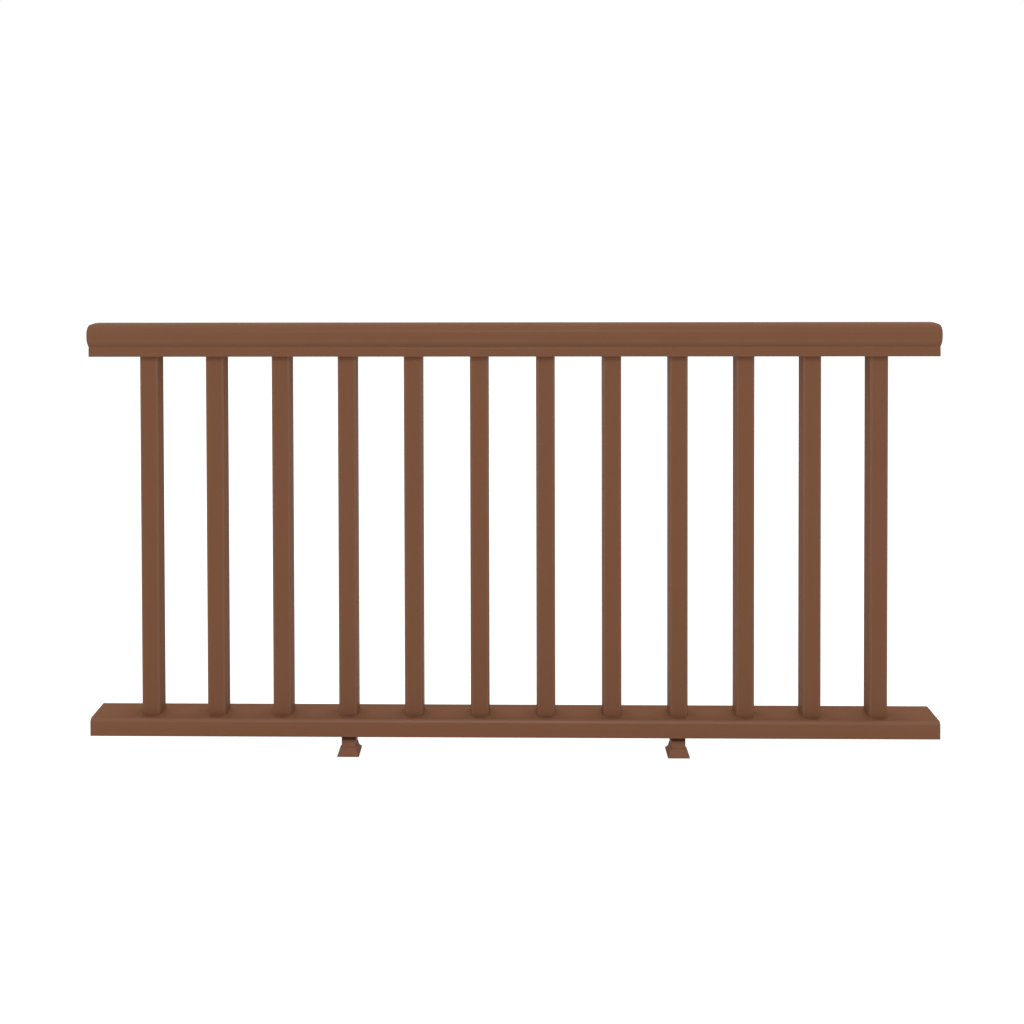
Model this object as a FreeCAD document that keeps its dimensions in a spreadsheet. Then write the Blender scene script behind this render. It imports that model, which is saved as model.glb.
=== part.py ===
import FreeCAD, Part
import Sketcher
import math
import os

# Deck railing section, from ground level up: two feet, bottom rail, balusters, top rail.
# Units are millimetres. X runs along the rails, Y across them, Z up from the deck.
# The origin is the middle of the left foot's underside.

# Driving dimensions
SIZES = {
    # whole section
    "rail_length": 1776,
    "overall_height": 914.4,
    "end_gap": 102.2,
    "fit_clearance": 0.3,
    # feet
    "foot_height": 50,
    "foot_post_width": 30,
    "foot_post_corner": 1.5,
    "skirt_width": 46,
    "skirt_height": 17,
    "skirt_plinth": 1.5,
    "skirt_wall": 0.7,
    "outer_bay_count": 3,
    # rails
    "bottom_rail_width": 77,
    "bottom_rail_height": 36.8,
    "bottom_rail_corner": 8,
    "top_rail_width": 85,
    "top_rail_height": 67.4,
    "top_base_width": 64.4,
    "top_base_height": 19,
    "top_base_corner": 3.5,
    "neck_depth": 0.9,
    "neck_fillet": 3.5,
    "tuck_height": 23.5,
    "shoulder_radius": 18,
    "crown_radius": 300,
    "rail_wall": 2.8,
    # stiffeners inside the rails
    "stiffener_width": 50,
    "stiffener_height": 26,
    "stiffener_wall": 2,
    "stiffener_setback": 10,
    "rib_height": 6,
    "rib_width": 2,
    # balusters
    "baluster_count": 12,
    "baluster_width": 39.3,
    "baluster_corner": 5.8,
    "baluster_wall": 2.3,
    "baluster_entry": 18,
}

doc = FreeCAD.newDocument("DeckRailingSection")
sheet = doc.addObject("Spreadsheet::Sheet", "Dims")
for row, (alias, size) in enumerate(SIZES.items(), start=1):
    sheet.set(f"A{row}", alias)
    sheet.set(f"B{row}", str(size))
    sheet.setAlias(f"B{row}", alias)
doc.recompute()

# Where the pieces stand, as expressions on the sheet
BALUSTER_SPAN = "(Dims.rail_length - 2 * Dims.end_gap - Dims.baluster_width)"
BALUSTER_PITCH = BALUSTER_SPAN + " / (Dims.baluster_count - 1)"
FIRST_HOLE_X = "-" + BALUSTER_SPAN + " / 2"
MID_X = BALUSTER_SPAN + " / 2 - Dims.outer_bay_count * " + BALUSTER_PITCH
RIGHT_FOOT_X = BALUSTER_SPAN + " - 2 * Dims.outer_bay_count * " + BALUSTER_PITCH
TOP_RAIL_Z = "Dims.overall_height - Dims.top_rail_height"
BOTTOM_FLOOR_Z = "Dims.foot_height + Dims.rail_wall"
TOP_FLOOR_Z = TOP_RAIL_Z + " + Dims.rail_wall"
BOTTOM_RAIL_TOP_Z = "Dims.foot_height + Dims.bottom_rail_height"
STIFFENER_LENGTH = "Dims.rail_length - 2 * Dims.stiffener_setback"
HOLE_WIDTH = "Dims.baluster_width + 2 * Dims.fit_clearance"
HOLE_CORNER = "Dims.baluster_corner + Dims.fit_clearance"

# How a sketch numbers an element's points, its own axes and its origin
START, END, CENTRE = range(1, 4)
X_AXIS, Y_AXIS = range(-1, -3, -1)
ORIGIN_POINT = (X_AXIS, START)

FLAT_TOLERANCE = 0.001

finished = []


def spot(x, y):
    return FreeCAD.Vector(x, y, 0)


def origin_feature(body, role):
    for feature in body.Origin.OriginFeatures:
        if feature.Role == role:
            return feature
    raise RuntimeError("no origin feature " + role)


def new_body(name):
    body = doc.addObject("PartDesign::Body", name)
    body.Label = name
    finished.append(body)
    return body


def sketch_on(body, role, name):
    sketch = body.newObject("Sketcher::SketchObject", name)
    sketch.AttachmentSupport = [(origin_feature(body, role), "")]
    sketch.MapMode = "FlatFace"
    return sketch


def dimension(sketch, name, expression, *constraint):
    index = sketch.addConstraint(Sketcher.Constraint(*constraint))
    sketch.renameConstraint(index, name)
    sketch.setExpression("Constraints." + name, expression)


def pad(body, sketch, name, length, symmetric=False):
    feature = body.newObject("PartDesign::Pad", name)
    feature.Profile = sketch
    feature.SideType = "Symmetric" if symmetric else "One side"
    feature.setExpression("Length", length)
    return feature


def rounded_square(sketch, width, corner, width_now, corner_now, tag):
    # a square of the given width round the sketch's origin, with all corners rounded alike
    half = width_now / 2
    flat = half - corner_now
    first = sketch.GeometryCount
    ends = [
        (spot(-flat, -half), spot(flat, -half)),
        (spot(half, -flat), spot(half, flat)),
        (spot(flat, half), spot(-flat, half)),
        (spot(-half, flat), spot(-half, -flat)),
    ]
    centres = [spot(flat, -flat), spot(flat, flat), spot(-flat, flat), spot(-flat, -flat)]
    for side in range(4):
        sketch.addGeometry(Part.LineSegment(*ends[side]))
        circle = Part.Circle(centres[side], FreeCAD.Vector(0, 0, 1), corner_now)
        begin = (side - 1) * math.pi / 2
        sketch.addGeometry(Part.ArcOfCircle(circle, begin, begin + math.pi / 2))
    for side in range(4):
        line = first + 2 * side
        arc = line + 1
        following = first + 2 * ((side + 1) % 4)
        sketch.addConstraint(Sketcher.Constraint("Tangent", line, END, arc, START))
        sketch.addConstraint(Sketcher.Constraint("Tangent", arc, END, following, START))
        level = "Horizontal" if side % 2 == 0 else "Vertical"
        sketch.addConstraint(Sketcher.Constraint(level, line))
    for side in range(1, 4):
        sketch.addConstraint(Sketcher.Constraint("Equal", first + 1, first + 1 + 2 * side))
    lower_right, upper_left = first + 1, first + 5
    sketch.addConstraint(
        Sketcher.Constraint("Symmetric", lower_right, CENTRE, upper_left, CENTRE, *ORIGIN_POINT)
    )
    bottom, right, top, left = first, first + 2, first + 4, first + 6
    dimension(sketch, tag + "_width", width, "DistanceX", left, START, right, START, width_now)
    dimension(sketch, tag + "_depth", width, "DistanceY", bottom, START, top, START, width_now)
    dimension(sketch, tag + "_corner", corner, "Radius", first + 1, corner_now)


def rectangle(sketch, left, bottom, width, height, now):
    # an upright rectangle clear of both axes; now holds its four present sizes in the same order
    x0, y0, w, h = now
    corners = [spot(x0, y0), spot(x0 + w, y0), spot(x0 + w, y0 + h), spot(x0, y0 + h)]
    for side in range(4):
        sketch.addGeometry(Part.LineSegment(corners[side], corners[(side + 1) % 4]))
    for side in range(4):
        sketch.addConstraint(Sketcher.Constraint("Coincident", side, END, (side + 1) % 4, START))
        level = "Horizontal" if side % 2 == 0 else "Vertical"
        sketch.addConstraint(Sketcher.Constraint(level, side))
    dimension(sketch, "left", left, "DistanceX", *ORIGIN_POINT, 0, START, x0)
    dimension(sketch, "bottom", bottom, "DistanceY", *ORIGIN_POINT, 0, START, y0)
    dimension(sketch, "width", width, "DistanceX", 0, START, 0, END, w)
    dimension(sketch, "height", height, "DistanceY", 1, START, 1, END, h)


def hollow(body, base, wall):
    # takes both end faces off an extrusion along X and leaves a wall of even thickness
    doc.recompute()
    ends = []
    for number, face in enumerate(base.Shape.Faces, start=1):
        if face.BoundBox.XLength < FLAT_TOLERANCE:
            ends.append(f"Face{number}")
    shell = body.newObject("PartDesign::Thickness", body.Name + "_hollow")
    shell.Base = (base, ends)
    shell.Reversed = True
    shell.Mode = "Skin"
    shell.Join = "Arc"
    shell.setExpression("Value", wall)
    return shell


def locating_ribs(body, floor_z, floor_now):
    # two low ribs on the inner floor, one each side of the stiffener
    sketch = sketch_on(body, "YZ_Plane", body.Name + "_rib_outline")
    sunk = SIZES["rail_wall"] / 2
    rectangle(
        sketch,
        "Dims.stiffener_width / 2 + Dims.fit_clearance",
        floor_z + " - Dims.rail_wall / 2",
        "Dims.rib_width",
        "Dims.rib_height + Dims.rail_wall / 2",
        (
            SIZES["stiffener_width"] / 2 + SIZES["fit_clearance"],
            floor_now - sunk,
            SIZES["rib_width"],
            SIZES["rib_height"] + sunk,
        ),
    )
    rib = pad(body, sketch, body.Name + "_rib", "Dims.rail_length", symmetric=True)
    pair = body.newObject("PartDesign::Mirrored", body.Name + "_rib_pair")
    pair.Originals = [rib]
    pair.MirrorPlane = (origin_feature(body, "XZ_Plane"), [""])
    body.Tip = pair


def routed_holes(body, start_z, reach):
    # square holes through the one wall that faces the balusters, cut upwards from start_z
    sketch = sketch_on(body, "XY_Plane", body.Name + "_hole_outline")
    sketch.setExpression("AttachmentOffset.Base.x", FIRST_HOLE_X)
    sketch.setExpression("AttachmentOffset.Base.z", start_z)
    clearance = SIZES["fit_clearance"]
    rounded_square(
        sketch,
        HOLE_WIDTH,
        HOLE_CORNER,
        SIZES["baluster_width"] + 2 * clearance,
        SIZES["baluster_corner"] + clearance,
        "hole",
    )
    hole = body.newObject("PartDesign::Pocket", body.Name + "_hole")
    hole.Profile = sketch
    hole.Reversed = True
    hole.setExpression("Length", reach)
    row = body.newObject("PartDesign::LinearPattern", body.Name + "_hole_row")
    row.Originals = [hole]
    row.Direction = (origin_feature(body, "X_Axis"), [""])
    row.setExpression("Length", BALUSTER_SPAN)
    row.setExpression("Occurrences", "Dims.baluster_count")
    body.Tip = row


# Feet: a solid post block carries the bottom rail, and a thin flared skirt covers its base
def foot_post(name, x):
    body = new_body(name)
    sketch = sketch_on(body, "XY_Plane", name + "_outline")
    rounded_square(
        sketch,
        "Dims.foot_post_width",
        "Dims.foot_post_corner",
        SIZES["foot_post_width"],
        SIZES["foot_post_corner"],
        "post",
    )
    pad(body, sketch, name + "_block", "Dims.foot_height")
    body.setExpression("Placement.Base.x", x)


def cove_outline(name, turn):
    # the skirt's side view: upright plinth, then a hollow curve that runs up into the post
    sketch = doc.addObject("Sketcher::SketchObject", name)
    sketch.Placement = FreeCAD.Placement(FreeCAD.Vector(0, 0, 0), turn)
    base = SIZES["skirt_width"] / 2
    neck = SIZES["foot_post_width"] / 2 + SIZES["fit_clearance"] + SIZES["skirt_wall"]
    plinth = SIZES["skirt_plinth"]
    top = SIZES["skirt_height"]
    rise = top - plinth
    flare = base - neck
    radius = (rise * rise + flare * flare) / (2 * flare)
    sweep = math.asin(rise / radius)
    sketch.addGeometry(Part.LineSegment(spot(-base, 0), spot(base, 0)))
    sketch.addGeometry(Part.LineSegment(spot(base, 0), spot(base, plinth)))
    right = Part.Circle(spot(neck + radius, top), FreeCAD.Vector(0, 0, 1), radius)
    sketch.addGeometry(Part.ArcOfCircle(right, math.pi, math.pi + sweep))
    sketch.addGeometry(Part.LineSegment(spot(neck, top), spot(-neck, top)))
    left = Part.Circle(spot(-neck - radius, top), FreeCAD.Vector(0, 0, 1), radius)
    sketch.addGeometry(Part.ArcOfCircle(left, -sweep, 0))
    sketch.addGeometry(Part.LineSegment(spot(-base, plinth), spot(-base, 0)))
    floor, right_edge, right_cove, rim, left_cove, left_edge = range(6)
    for one, one_end, other, other_end in (
        (floor, END, right_edge, START),
        (right_edge, END, right_cove, END),
        (right_cove, START, rim, START),
        (rim, END, left_cove, END),
        (left_cove, START, left_edge, START),
        (left_edge, END, floor, START),
    ):
        sketch.addConstraint(Sketcher.Constraint("Coincident", one, one_end, other, other_end))
    sketch.addConstraint(Sketcher.Constraint("Horizontal", floor))
    for line in (right_edge, left_edge):
        sketch.addConstraint(Sketcher.Constraint("Vertical", line))
    # each cove starts upright at the rim, so its centre lies level with the rim
    sketch.addConstraint(Sketcher.Constraint("Horizontal", right_cove, CENTRE, rim, START))
    sketch.addConstraint(Sketcher.Constraint("Horizontal", left_cove, CENTRE, rim, END))
    sketch.addConstraint(Sketcher.Constraint("Symmetric", floor, START, floor, END, *ORIGIN_POINT))
    sketch.addConstraint(Sketcher.Constraint("Symmetric", rim, START, rim, END, Y_AXIS))
    sketch.addConstraint(Sketcher.Constraint("Equal", right_edge, left_edge))
    dimension(sketch, "base_width", "Dims.skirt_width", "DistanceX", floor, START, floor, END, 2 * base)
    dimension(sketch, "plinth", "Dims.skirt_plinth", "DistanceY", floor, END, right_edge, END, plinth)
    dimension(sketch, "height", "Dims.skirt_height", "DistanceY", floor, END, rim, START, top)
    dimension(
        sketch,
        "rim_width",
        "Dims.foot_post_width + 2 * (Dims.fit_clearance + Dims.skirt_wall)",
        "DistanceX",
        rim,
        END,
        rim,
        START,
        2 * neck,
    )
    return sketch


def cove_block(name, turn, direction):
    block = doc.addObject("Part::Extrusion", name)
    block.Base = cove_outline(name + "_outline", turn)
    block.DirMode = "Custom"
    block.Dir = direction
    block.Solid = True
    block.Symmetric = True
    block.setExpression("LengthFwd", "2 * Dims.skirt_width")
    return block


def foot_skirt(name, x):
    upright = FreeCAD.Rotation(FreeCAD.Vector(1, 0, 0), 90)
    quarter_turn = FreeCAD.Rotation(FreeCAD.Vector(0, 0, 1), 90)
    along = cove_block(name + "_front_cove", upright, FreeCAD.Vector(0, 1, 0))
    across = cove_block(name + "_side_cove", quarter_turn * upright, FreeCAD.Vector(1, 0, 0))
    flared = doc.addObject("Part::Common", name + "_flared")
    flared.Base = along
    flared.Tool = across
    opening = doc.addObject("Part::Box", name + "_opening")
    opening_width = "Dims.foot_post_width + 2 * Dims.fit_clearance"
    opening.setExpression("Length", opening_width)
    opening.setExpression("Width", opening_width)
    opening.setExpression("Height", "2 * Dims.skirt_height")
    opening.setExpression("Placement.Base.x", f"-({opening_width}) / 2")
    opening.setExpression("Placement.Base.y", f"-({opening_width}) / 2")
    opening.setExpression("Placement.Base.z", "-Dims.skirt_height / 2")
    skirt = doc.addObject("Part::Cut", name)
    skirt.Label = name
    skirt.Base = flared
    skirt.Tool = opening
    skirt.setExpression("Placement.Base.x", x)
    finished.append(skirt)


for side, foot_x in (("left", "0"), ("right", RIGHT_FOOT_X)):
    foot_post(side + "_foot_post", foot_x)
    foot_skirt(side + "_foot_skirt", foot_x)


# Bottom rail: a hollow rectangular extrusion with its two upper long edges rounded
def bottom_rail():
    body = new_body("bottom_rail")
    sketch = sketch_on(body, "YZ_Plane", "bottom_rail_outline")
    half = SIZES["bottom_rail_width"] / 2
    low = SIZES["foot_height"]
    high = low + SIZES["bottom_rail_height"]
    corner = SIZES["bottom_rail_corner"]
    sketch.addGeometry(Part.LineSegment(spot(-half, low), spot(half, low)))
    sketch.addGeometry(Part.LineSegment(spot(half, low), spot(half, high - corner)))
    back = Part.Circle(spot(half - corner, high - corner), FreeCAD.Vector(0, 0, 1), corner)
    sketch.addGeometry(Part.ArcOfCircle(back, 0, math.pi / 2))
    sketch.addGeometry(Part.LineSegment(spot(half - corner, high), spot(corner - half, high)))
    front = Part.Circle(spot(corner - half, high - corner), FreeCAD.Vector(0, 0, 1), corner)
    sketch.addGeometry(Part.ArcOfCircle(front, math.pi / 2, math.pi))
    sketch.addGeometry(Part.LineSegment(spot(-half, high - corner), spot(-half, low)))
    floor, back_face, back_edge, top, front_edge, front_face = range(6)
    sketch.addConstraint(Sketcher.Constraint("Coincident", floor, END, back_face, START))
    sketch.addConstraint(Sketcher.Constraint("Coincident", front_face, END, floor, START))
    for one, other in (
        (back_face, back_edge),
        (back_edge, top),
        (top, front_edge),
        (front_edge, front_face),
    ):
        sketch.addConstraint(Sketcher.Constraint("Tangent", one, END, other, START))
    sketch.addConstraint(Sketcher.Constraint("Horizontal", top))
    for line in (back_face, front_face):
        sketch.addConstraint(Sketcher.Constraint("Vertical", line))
    sketch.addConstraint(Sketcher.Constraint("Equal", back_edge, front_edge))
    sketch.addConstraint(Sketcher.Constraint("Symmetric", floor, START, floor, END, Y_AXIS))
    width = "Dims.bottom_rail_width"
    height = "Dims.bottom_rail_height"
    dimension(sketch, "width", width, "DistanceX", floor, START, floor, END, 2 * half)
    dimension(sketch, "lift", "Dims.foot_height", "DistanceY", *ORIGIN_POINT, floor, START, low)
    dimension(sketch, "height", height, "DistanceY", floor, START, top, START, high - low)
    dimension(sketch, "corner", "Dims.bottom_rail_corner", "Radius", back_edge, corner)
    bar = pad(body, sketch, "bottom_rail_bar", "Dims.rail_length", symmetric=True)
    hollow(body, bar, "Dims.rail_wall")
    locating_ribs(body, BOTTOM_FLOOR_Z, low + SIZES["rail_wall"])
    routed_holes(body, BOTTOM_RAIL_TOP_Z + " - 2 * Dims.rail_wall", "3 * Dims.rail_wall")
    body.setExpression("Placement.Base.x", MID_X)


bottom_rail()


# Top rail: a hollow bread-loaf extrusion, crowned above and tucked in to a narrower base
def top_rail():
    body = new_body("top_rail")
    sketch = sketch_on(body, "YZ_Plane", "top_rail_outline")
    height = SIZES["overall_height"]
    low = height - SIZES["top_rail_height"]
    neck_z = low + SIZES["top_base_height"]
    widest_z = neck_z + SIZES["tuck_height"]
    half = SIZES["top_rail_width"] / 2
    base = SIZES["top_base_width"] / 2
    neck = base - SIZES["neck_depth"]
    corner = SIZES["top_base_corner"]
    shoulder = SIZES["shoulder_radius"]
    crown = SIZES["crown_radius"]
    fillet = SIZES["neck_fillet"]
    fillet_y = neck + fillet
    corner_sweep = math.acos(1 - SIZES["neck_depth"] / (corner + fillet))
    corner_z = neck_z - (corner + fillet) * math.sin(corner_sweep)
    rise = SIZES["tuck_height"]
    tuck = ((half - fillet_y) ** 2 + rise ** 2 - fillet ** 2) / (2 * (half - neck))
    tuck_sweep = math.asin(rise / (tuck + fillet))
    crown_z = height - crown
    shoulder_y = half - shoulder
    shoulder_z = crown_z + math.sqrt((crown - shoulder) ** 2 - shoulder_y ** 2)
    shoulder_sweep = math.atan2(shoulder_z - crown_z, shoulder_y)

    def line(y0, z0, y1, z1):
        return sketch.addGeometry(Part.LineSegment(spot(y0, z0), spot(y1, z1)))

    def arc(y, z, radius, begin, finish):
        circle = Part.Circle(spot(y, z), FreeCAD.Vector(0, 0, 1), radius)
        return sketch.addGeometry(Part.ArcOfCircle(circle, begin, finish))

    floor = line(-base, low, base, low)
    back_base = line(base, low, base, corner_z)
    back_corner = arc(base - corner, corner_z, corner, 0, corner_sweep)
    back_fillet = arc(fillet_y, neck_z, fillet, math.pi - tuck_sweep, math.pi + corner_sweep)
    back_tuck = arc(half - tuck, widest_z, tuck, -tuck_sweep, 0)
    back_side = line(half, widest_z, half, shoulder_z)
    back_shoulder = arc(shoulder_y, shoulder_z, shoulder, 0, shoulder_sweep)
    top = arc(0, crown_z, crown, shoulder_sweep, math.pi - shoulder_sweep)
    front_shoulder = arc(-shoulder_y, shoulder_z, shoulder, math.pi - shoulder_sweep, math.pi)
    front_side = line(-half, shoulder_z, -half, widest_z)
    front_tuck = arc(tuck - half, widest_z, tuck, math.pi, math.pi + tuck_sweep)
    front_fillet = arc(-fillet_y, neck_z, fillet, -corner_sweep, tuck_sweep)
    front_corner = arc(corner - base, corner_z, corner, math.pi - corner_sweep, math.pi)
    front_base = line(-base, corner_z, -base, low)

    # sharp joints at the two lower edges
    for one, other in ((floor, back_base), (front_base, floor)):
        sketch.addConstraint(Sketcher.Constraint("Coincident", one, END, other, START))
    # smooth joints everywhere else
    for one, other in (
        (back_base, back_corner),
        (back_tuck, back_side),
        (back_side, back_shoulder),
        (back_shoulder, top),
        (top, front_shoulder),
        (front_shoulder, front_side),
        (front_side, front_tuck),
        (front_corner, front_base),
    ):
        sketch.addConstraint(Sketcher.Constraint("Tangent", one, END, other, START))
    # the hollow fillets at the neck turn the other way, so they meet end to end and start to start
    sketch.addConstraint(Sketcher.Constraint("Tangent", back_corner, END, back_fillet, END))
    sketch.addConstraint(Sketcher.Constraint("Tangent", back_fillet, START, back_tuck, START))
    sketch.addConstraint(Sketcher.Constraint("Tangent", front_tuck, END, front_fillet, END))
    sketch.addConstraint(Sketcher.Constraint("Tangent", front_fillet, START, front_corner, START))
    for upright in (back_base, front_base, back_side, front_side):
        sketch.addConstraint(Sketcher.Constraint("Vertical", upright))
    sketch.addConstraint(Sketcher.Constraint("PointOnObject", top, CENTRE, Y_AXIS))
    sketch.addConstraint(Sketcher.Constraint("Symmetric", floor, START, floor, END, Y_AXIS))
    sketch.addConstraint(Sketcher.Constraint("Equal", back_shoulder, front_shoulder))
    sketch.addConstraint(Sketcher.Constraint("Equal", back_corner, front_corner))
    sketch.addConstraint(Sketcher.Constraint("Equal", back_fillet, front_fillet))
    sketch.addConstraint(
        Sketcher.Constraint("Symmetric", back_fillet, CENTRE, front_fillet, CENTRE, Y_AXIS)
    )
    sketch.addConstraint(
        Sketcher.Constraint("Symmetric", back_side, START, front_side, END, Y_AXIS)
    )
    fillet_span = "Dims.top_base_width - 2 * Dims.neck_depth + 2 * Dims.neck_fillet"
    dimension(sketch, "lift", TOP_RAIL_Z, "DistanceY", *ORIGIN_POINT, floor, START, low)
    dimension(sketch, "base_width", "Dims.top_base_width", "DistanceX", floor, START, floor, END, 2 * base)
    dimension(
        sketch,
        "neck_height",
        "Dims.top_base_height",
        "DistanceY",
        floor,
        END,
        back_fillet,
        CENTRE,
        neck_z - low,
    )
    dimension(
        sketch,
        "fillet_span",
        fillet_span,
        "DistanceX",
        front_fillet,
        CENTRE,
        back_fillet,
        CENTRE,
        2 * fillet_y,
    )
    dimension(
        sketch,
        "tuck_height",
        "Dims.tuck_height",
        "DistanceY",
        back_fillet,
        CENTRE,
        back_tuck,
        END,
        rise,
    )
    dimension(
        sketch,
        "width",
        "Dims.top_rail_width",
        "DistanceX",
        front_side,
        START,
        back_side,
        START,
        2 * half,
    )
    dimension(sketch, "base_corner", "Dims.top_base_corner", "Radius", back_corner, corner)
    dimension(sketch, "neck_fillet", "Dims.neck_fillet", "Radius", back_fillet, fillet)
    dimension(sketch, "shoulder", "Dims.shoulder_radius", "Radius", back_shoulder, shoulder)
    dimension(sketch, "crown", "Dims.crown_radius", "Radius", top, crown)
    dimension(
        sketch,
        "crown_drop",
        "Dims.crown_radius - Dims.overall_height",
        "DistanceY",
        top,
        CENTRE,
        *ORIGIN_POINT,
        -crown_z,
    )
    bar = pad(body, sketch, "top_rail_bar", "Dims.rail_length", symmetric=True)
    hollow(body, bar, "Dims.rail_wall")
    locating_ribs(body, TOP_FLOOR_Z, low + SIZES["rail_wall"])
    routed_holes(body, TOP_RAIL_Z + " - Dims.rail_wall", "3 * Dims.rail_wall")
    body.setExpression("Placement.Base.x", MID_X)


top_rail()


# Stiffeners: one aluminium U-channel in each rail, open towards the balusters
def stiffener(name, floor_z, upside_down):
    body = new_body(name)
    sketch = sketch_on(body, "YZ_Plane", name + "_outline")
    half = SIZES["stiffener_width"] / 2
    wall = SIZES["stiffener_wall"]
    high = SIZES["stiffener_height"]
    corners = [
        spot(-half, 0),
        spot(half, 0),
        spot(half, high),
        spot(half - wall, high),
        spot(half - wall, wall),
        spot(wall - half, wall),
        spot(wall - half, high),
        spot(-half, high),
    ]
    count = len(corners)
    for side in range(count):
        sketch.addGeometry(Part.LineSegment(corners[side], corners[(side + 1) % count]))
    for side in range(count):
        sketch.addConstraint(Sketcher.Constraint("Coincident", side, END, (side + 1) % count, START))
        level = "Horizontal" if side % 2 == 0 else "Vertical"
        sketch.addConstraint(Sketcher.Constraint(level, side))
    web, right_leg, right_rim, _, inner_web, _, left_rim, left_leg = range(count)
    sketch.addConstraint(Sketcher.Constraint("Symmetric", web, START, web, END, *ORIGIN_POINT))
    sketch.addConstraint(Sketcher.Constraint("Equal", right_rim, left_rim))
    sketch.addConstraint(Sketcher.Constraint("Equal", right_leg, left_leg))
    leg = "Dims.stiffener_height"
    dimension(sketch, "width", "Dims.stiffener_width", "DistanceX", web, START, web, END, 2 * half)
    dimension(sketch, "height", leg, "DistanceY", right_leg, START, right_leg, END, high)
    thick = "Dims.stiffener_wall"
    dimension(sketch, "leg_wall", thick, "DistanceX", right_rim, END, right_rim, START, wall)
    dimension(sketch, "web_wall", thick, "DistanceY", web, END, inner_web, START, wall)
    pad(body, sketch, name + "_bar", STIFFENER_LENGTH, symmetric=True)
    if upside_down:
        body.Placement.Rotation = FreeCAD.Rotation(FreeCAD.Vector(1, 0, 0), 180)
        floor_z = floor_z + " + Dims.stiffener_height"
    body.setExpression("Placement.Base.x", MID_X)
    body.setExpression("Placement.Base.z", floor_z)


stiffener("bottom_rail_stiffener", BOTTOM_FLOOR_Z, upside_down=False)
stiffener("top_rail_stiffener", TOP_FLOOR_Z, upside_down=True)


# Balusters: square tubes that stand on the bottom stiffener and end inside the top rail
def baluster(number):
    name = f"baluster_{number + 1:02d}"
    body = new_body(name)
    sketch = sketch_on(body, "XY_Plane", name + "_outline")
    width = SIZES["baluster_width"]
    corner = SIZES["baluster_corner"]
    wall = SIZES["baluster_wall"]
    rounded_square(sketch, "Dims.baluster_width", "Dims.baluster_corner", width, corner, "outer")
    rounded_square(
        sketch,
        "Dims.baluster_width - 2 * Dims.baluster_wall",
        "Dims.baluster_corner - Dims.baluster_wall",
        width - 2 * wall,
        corner - wall,
        "inner",
    )
    seat = BOTTOM_FLOOR_Z + " + Dims.stiffener_wall"
    pad(body, sketch, name + "_tube", f"{TOP_FLOOR_Z} + Dims.baluster_entry - ({seat})")
    body.setExpression("Placement.Base.x", f"({number} - Dims.outer_bay_count) * {BALUSTER_PITCH}")
    body.setExpression("Placement.Base.z", seat)


for number in range(int(SIZES["baluster_count"])):
    baluster(number)

doc.recompute()

# Every object must have been made without an error, and every piece must be one valid solid
for item in doc.Objects:
    if "Invalid" in item.State or "Error" in item.State:
        raise RuntimeError(f"{item.Label} did not compute: {item.State}")

os.makedirs("parts", exist_ok=True)
for piece in finished:
    shape = piece.Shape
    if shape.isNull() or not shape.isValid() or len(shape.Solids) != 1:
        raise RuntimeError(f"{piece.Label} is not one valid solid")
    shape.exportStep(f"parts/{piece.Label}.step")
    box = shape.BoundBox
    print(f"{piece.Label}: {shape.Volume / 1000:.1f} cm3, X {box.XMin:.2f} to {box.XMax:.2f}, "
          f"Y {box.YMin:.2f} to {box.YMax:.2f}, Z {box.ZMin:.2f} to {box.ZMax:.2f}")
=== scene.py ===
import math

import bmesh
import bpy
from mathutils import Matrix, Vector


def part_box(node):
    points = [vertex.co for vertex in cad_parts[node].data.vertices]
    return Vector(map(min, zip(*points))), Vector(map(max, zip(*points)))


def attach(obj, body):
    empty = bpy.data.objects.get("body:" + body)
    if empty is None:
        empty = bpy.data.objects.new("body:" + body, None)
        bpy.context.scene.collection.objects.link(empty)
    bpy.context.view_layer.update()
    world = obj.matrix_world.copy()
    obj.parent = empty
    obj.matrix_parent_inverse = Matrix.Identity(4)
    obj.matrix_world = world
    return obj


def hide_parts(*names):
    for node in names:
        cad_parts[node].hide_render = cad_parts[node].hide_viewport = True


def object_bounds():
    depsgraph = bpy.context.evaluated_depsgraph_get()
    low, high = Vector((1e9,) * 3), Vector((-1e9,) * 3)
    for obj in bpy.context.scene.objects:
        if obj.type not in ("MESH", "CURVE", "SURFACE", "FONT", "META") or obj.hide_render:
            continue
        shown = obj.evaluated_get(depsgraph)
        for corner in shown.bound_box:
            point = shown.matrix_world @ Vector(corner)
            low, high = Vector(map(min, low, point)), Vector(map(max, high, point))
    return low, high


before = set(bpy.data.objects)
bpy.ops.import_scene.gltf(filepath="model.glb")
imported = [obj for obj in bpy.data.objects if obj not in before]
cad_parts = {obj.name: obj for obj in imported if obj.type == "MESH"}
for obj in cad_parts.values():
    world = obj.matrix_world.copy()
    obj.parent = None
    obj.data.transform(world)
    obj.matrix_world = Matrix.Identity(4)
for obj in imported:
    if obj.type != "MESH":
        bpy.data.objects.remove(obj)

cad_low, cad_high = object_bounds()

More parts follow.
